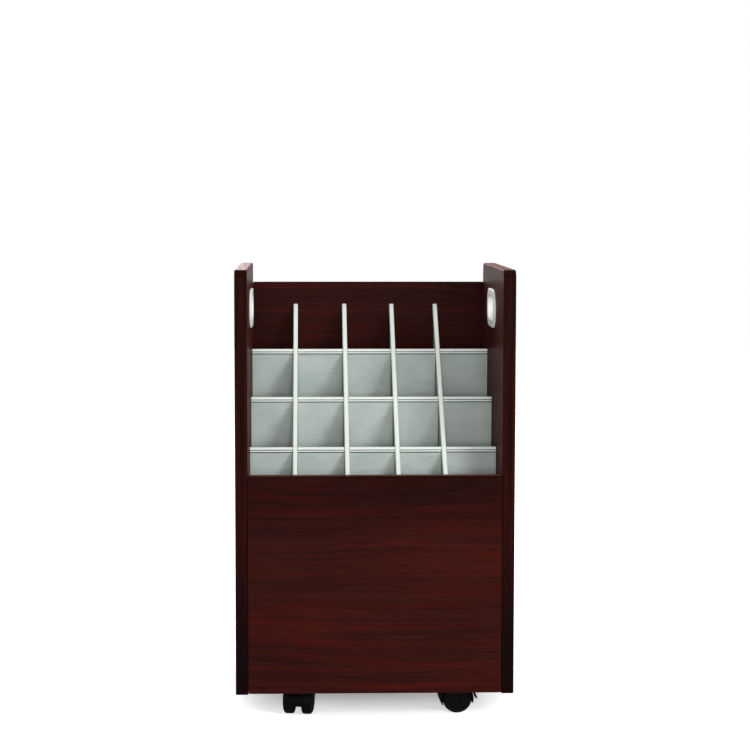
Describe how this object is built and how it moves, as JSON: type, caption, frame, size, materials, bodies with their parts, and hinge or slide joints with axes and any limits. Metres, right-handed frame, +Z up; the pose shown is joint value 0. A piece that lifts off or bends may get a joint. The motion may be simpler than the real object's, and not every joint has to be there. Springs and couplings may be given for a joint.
{
  "type": "mobile roll file organizer",
  "caption": "Open-topped laminate cabinet on swivel casters, with a stepped grid of upright compartments that hold rolled drawings and plans on end.",
  "frame": {"origin": "on the floor under the middle of the cabinet, where the casters stand", "axes": "+Z up, +X to the right as seen from the front, low front panel facing -Y"},
  "size_m": [0.3874, 0.3366, 0.6285],
  "materials": {
    "mahogany_laminate": "satin dark red wood-grain laminate on particle board",
    "edge_band": "satin dark red wood-grain edge banding",
    "grey_board": "matte pale grey hard board",
    "trim_plastic": "satin off-white extruded plastic",
    "liner_plastic": "satin off-white moulded plastic",
    "caster_plastic": "satin black moulded nylon",
    "wheel_nylon": "satin black nylon",
    "zinc_steel": "bright zinc-plated steel"
  },
  "bodies": {
    "cabinet": {"back_panel": "mahogany_laminate", "back_top_band": "edge_band", "base_panel": "mahogany_laminate", "column_divider_1": "grey_board", "column_divider_2": "grey_board", "column_divider_3": "grey_board", "column_divider_4": "grey_board", "column_trim_1": "trim_plastic", "column_trim_2": "trim_plastic", "column_trim_3": "trim_plastic", "column_trim_4": "trim_plastic", "front_left_caster_mount": "zinc_steel", "front_panel": "mahogany_laminate", "front_right_caster_mount": "zinc_steel", "front_top_band": "edge_band", "hand_hole_liner_left": "liner_plastic", "hand_hole_liner_right": "liner_plastic", "rear_left_caster_mount": "zinc_steel", "rear_right_caster_mount": "zinc_steel", "row_divider_1": "grey_board", "row_divider_2": "grey_board", "row_divider_3": "grey_board", "row_trim_1_1": "trim_plastic", "row_trim_1_2": "trim_plastic", "row_trim_1_3": "trim_plastic", "row_trim_1_4": "trim_plastic", "row_trim_1_5": "trim_plastic", "row_trim_2_1": "trim_plastic", "row_trim_2_2": "trim_plastic", "row_trim_2_3": "trim_plastic", "row_trim_2_4": "trim_plastic", "row_trim_2_5": "trim_plastic", "row_trim_3_1": "trim_plastic", "row_trim_3_2": "trim_plastic", "row_trim_3_3": "trim_plastic", "row_trim_3_4": "trim_plastic", "row_trim_3_5": "trim_plastic", "side_edge_band_left": "edge_band", "side_edge_band_right": "edge_band", "side_panel_left": "mahogany_laminate", "side_panel_right": "mahogany_laminate"},
    "front_left_caster": {"front_left_hood": "caster_plastic", "front_left_axle": "zinc_steel"},
    "front_left_wheel_1": {"front_left_wheel_1": "wheel_nylon"},
    "front_left_wheel_2": {"front_left_wheel_2": "wheel_nylon"},
    "front_left_brake_pedal": {"front_left_brake_pedal": "caster_plastic"},
    "front_right_caster": {"front_right_hood": "caster_plastic", "front_right_axle": "zinc_steel"},
    "front_right_wheel_1": {"front_right_wheel_1": "wheel_nylon"},
    "front_right_wheel_2": {"front_right_wheel_2": "wheel_nylon"},
    "front_right_brake_pedal": {"front_right_brake_pedal": "caster_plastic"},
    "rear_left_caster": {"rear_left_hood": "caster_plastic", "rear_left_axle": "zinc_steel"},
    "rear_left_wheel_1": {"rear_left_wheel_1": "wheel_nylon"},
    "rear_left_wheel_2": {"rear_left_wheel_2": "wheel_nylon"},
    "rear_right_caster": {"rear_right_hood": "caster_plastic", "rear_right_axle": "zinc_steel"},
    "rear_right_wheel_1": {"rear_right_wheel_1": "wheel_nylon"},
    "rear_right_wheel_2": {"rear_right_wheel_2": "wheel_nylon"}
  },
  "joints": [
    {"name": "front_left_swivel", "type": "hinge", "parent": "cabinet", "child": "front_left_caster", "pos_m": [-0.10378, -0.10827, 0.0505], "axis": [0, 0, 1], "continuous": true},
    {"name": "front_left_wheel_1_spin", "type": "hinge", "parent": "front_left_caster", "child": "front_left_wheel_1", "pos_m": [-0.10621, -0.12206, 0.02055], "axis": [0.9848, -0.1736, 0], "continuous": true},
    {"name": "front_left_wheel_2_spin", "type": "hinge", "parent": "front_left_caster", "child": "front_left_wheel_2", "pos_m": [-0.10621, -0.12206, 0.02055], "axis": [0.9848, -0.1736, 0], "continuous": true},
    {"name": "front_left_brake_pedal_lift", "type": "hinge", "parent": "front_left_caster", "child": "front_left_brake_pedal", "pos_m": [-0.10881, -0.13683, 0.0285], "axis": [-0.9848, 0.1736, 0], "range_deg": [0, 25]},
    {"name": "front_right_swivel", "type": "hinge", "parent": "cabinet", "child": "front_right_caster", "pos_m": [0.10378, -0.10827, 0.0505], "axis": [0, 0, 1], "continuous": true},
    {"name": "front_right_wheel_1_spin", "type": "hinge", "parent": "front_right_caster", "child": "front_right_wheel_1", "pos_m": [0.11778, -0.10827, 0.02055], "axis": [0, 1, 0], "continuous": true},
    {"name": "front_right_wheel_2_spin", "type": "hinge", "parent": "front_right_caster", "child": "front_right_wheel_2", "pos_m": [0.11778, -0.10827, 0.02055], "axis": [0, 1, 0], "continuous": true},
    {"name": "front_right_brake_pedal_lift", "type": "hinge", "parent": "front_right_caster", "child": "front_right_brake_pedal", "pos_m": [0.13278, -0.10827, 0.0285], "axis": [0, -1, 0], "range_deg": [0, 25]},
    {"name": "rear_left_swivel", "type": "hinge", "parent": "cabinet", "child": "rear_left_caster", "pos_m": [-0.10378, 0.10827, 0.0505], "axis": [0, 0, 1], "continuous": true},
    {"name": "rear_left_wheel_1_spin", "type": "hinge", "parent": "rear_left_caster", "child": "rear_left_wheel_1", "pos_m": [-0.10378, 0.12227, 0.02055], "axis": [-1, 0, 0], "continuous": true},
    {"name": "rear_left_wheel_2_spin", "type": "hinge", "parent": "rear_left_caster", "child": "rear_left_wheel_2", "pos_m": [-0.10378, 0.12227, 0.02055], "axis": [-1, 0, 0], "continuous": true},
    {"name": "rear_right_swivel", "type": "hinge", "parent": "cabinet", "child": "rear_right_caster", "pos_m": [0.10378, 0.10827, 0.0505], "axis": [0, 0, 1], "continuous": true},
    {"name": "rear_right_wheel_1_spin", "type": "hinge", "parent": "rear_right_caster", "child": "rear_right_wheel_1", "pos_m": [0.10378, 0.12227, 0.02055], "axis": [-1, 0, 0], "continuous": true},
    {"name": "rear_right_wheel_2_spin", "type": "hinge", "parent": "rear_right_caster", "child": "rear_right_wheel_2", "pos_m": [0.10378, 0.12227, 0.02055], "axis": [-1, 0, 0], "continuous": true}
  ]
}
